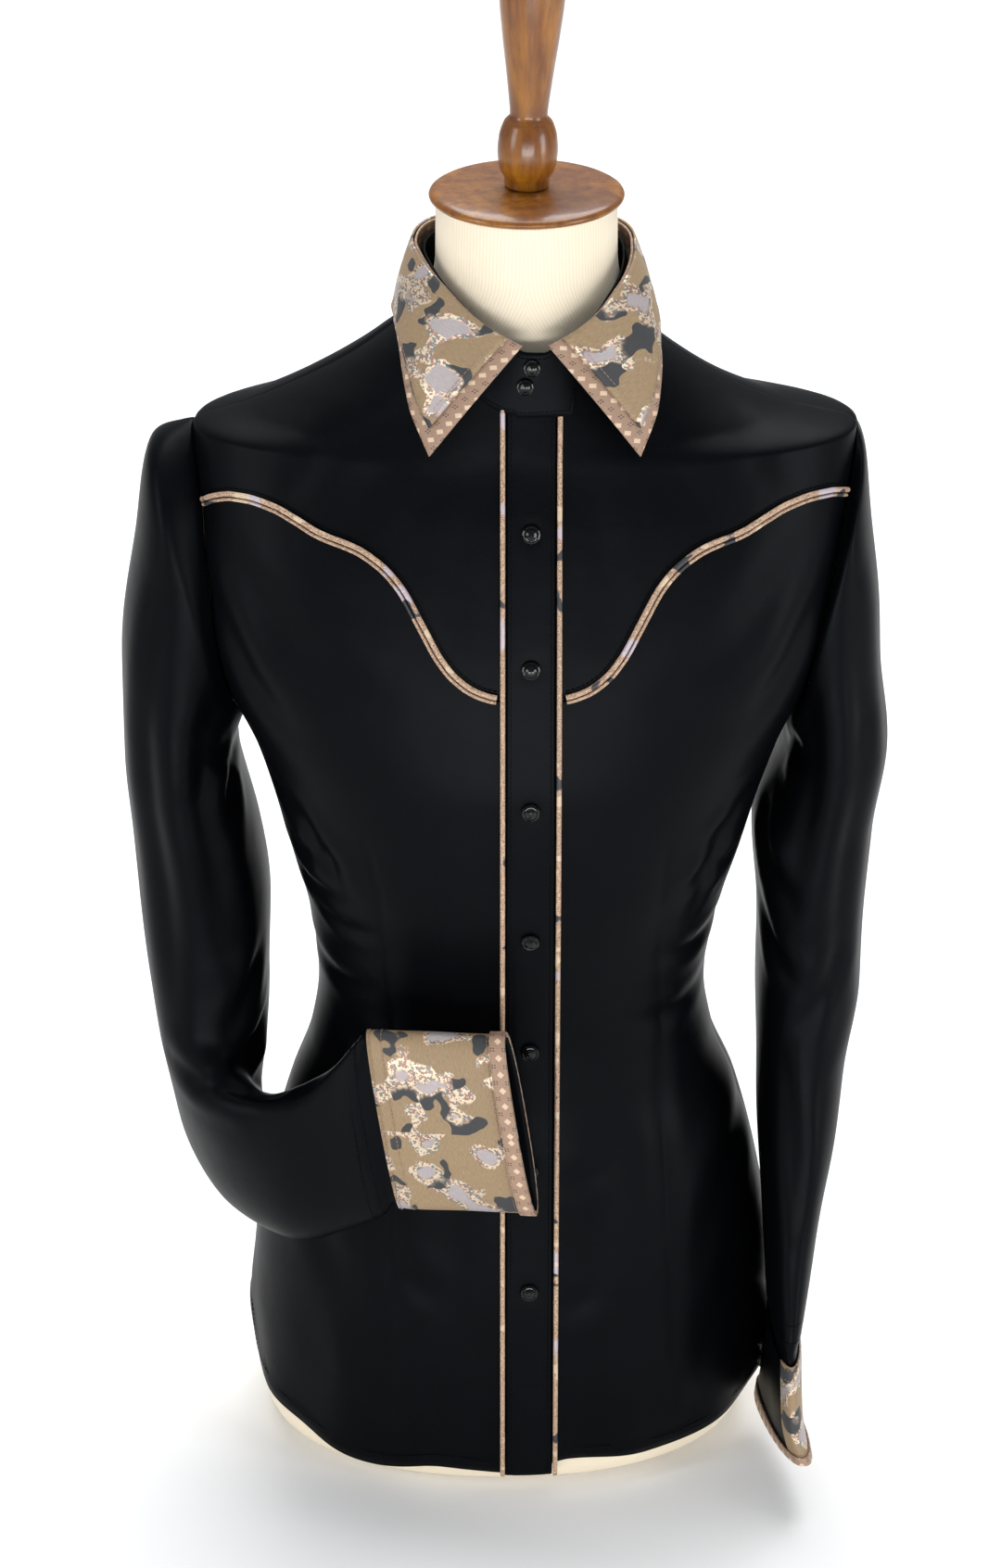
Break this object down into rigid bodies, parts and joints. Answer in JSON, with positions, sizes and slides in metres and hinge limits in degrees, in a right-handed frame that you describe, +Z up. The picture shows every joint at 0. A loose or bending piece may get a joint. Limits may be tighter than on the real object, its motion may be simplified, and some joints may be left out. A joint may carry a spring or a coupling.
{
  "type": "western snap shirt on a limbless dress form",
  "caption": "Fitted long-sleeved western shirt with pointed yokes, patterned collar and cuffs and piped front band, worn by a limbless dress form.",
  "frame": {"origin": "a point on the dress form's flat underside, on the mid-plane of the shirt", "axes": "+Z up along the form, -Y towards the shirt's front, +X towards the wearer's left"},
  "size_m": [0.4396, 0.2762, 0.917],
  "materials": {
    "black_satin": "soft sheen black satin",
    "patterned_brocade": "brocade with tan, lilac and charcoal patches",
    "trim_brocade": "rosy tan brocade with a small repeat",
    "piping_brocade": "tan brocade cut on the bias",
    "black_button": "polished black",
    "cream_jersey": "matt cream ribbed jersey",
    "varnished_wood": "red-brown gloss varnish"
  },
  "bodies": {
    "root": {"form_body": "cream_jersey", "form_neck_cap": "varnished_wood", "form_finial": "varnished_wood", "front_right": "black_satin", "front_left": "black_satin", "yoke_right": "black_satin", "yoke_left": "black_satin", "back": "black_satin", "placket": "black_satin", "collar_stand": "black_satin", "sleeve_right": "black_satin", "sleeve_left": "black_satin", "collar": "patterned_brocade", "cuff_right": "patterned_brocade", "cuff_left": "patterned_brocade", "collar_trim": "trim_brocade", "cuff_trim_right": "trim_brocade", "cuff_trim_left": "trim_brocade", "placket_piping_right": "piping_brocade", "placket_piping_left": "piping_brocade", "yoke_cord_right": "piping_brocade", "yoke_cord_left": "piping_brocade", "yoke_edge_right": "piping_brocade", "yoke_edge_left": "piping_brocade", "button_1": "black_button", "button_2": "black_button", "button_3": "black_button", "button_4": "black_button", "button_5": "black_button", "button_6": "black_button", "button_7": "black_button", "collar_button_1": "black_button", "collar_button_2": "black_button", "cuff_button_right_1": "black_button", "cuff_button_right_2": "black_button", "cuff_button_left_1": "black_button", "cuff_button_left_2": "black_button"}
  },
  "joints": []
}
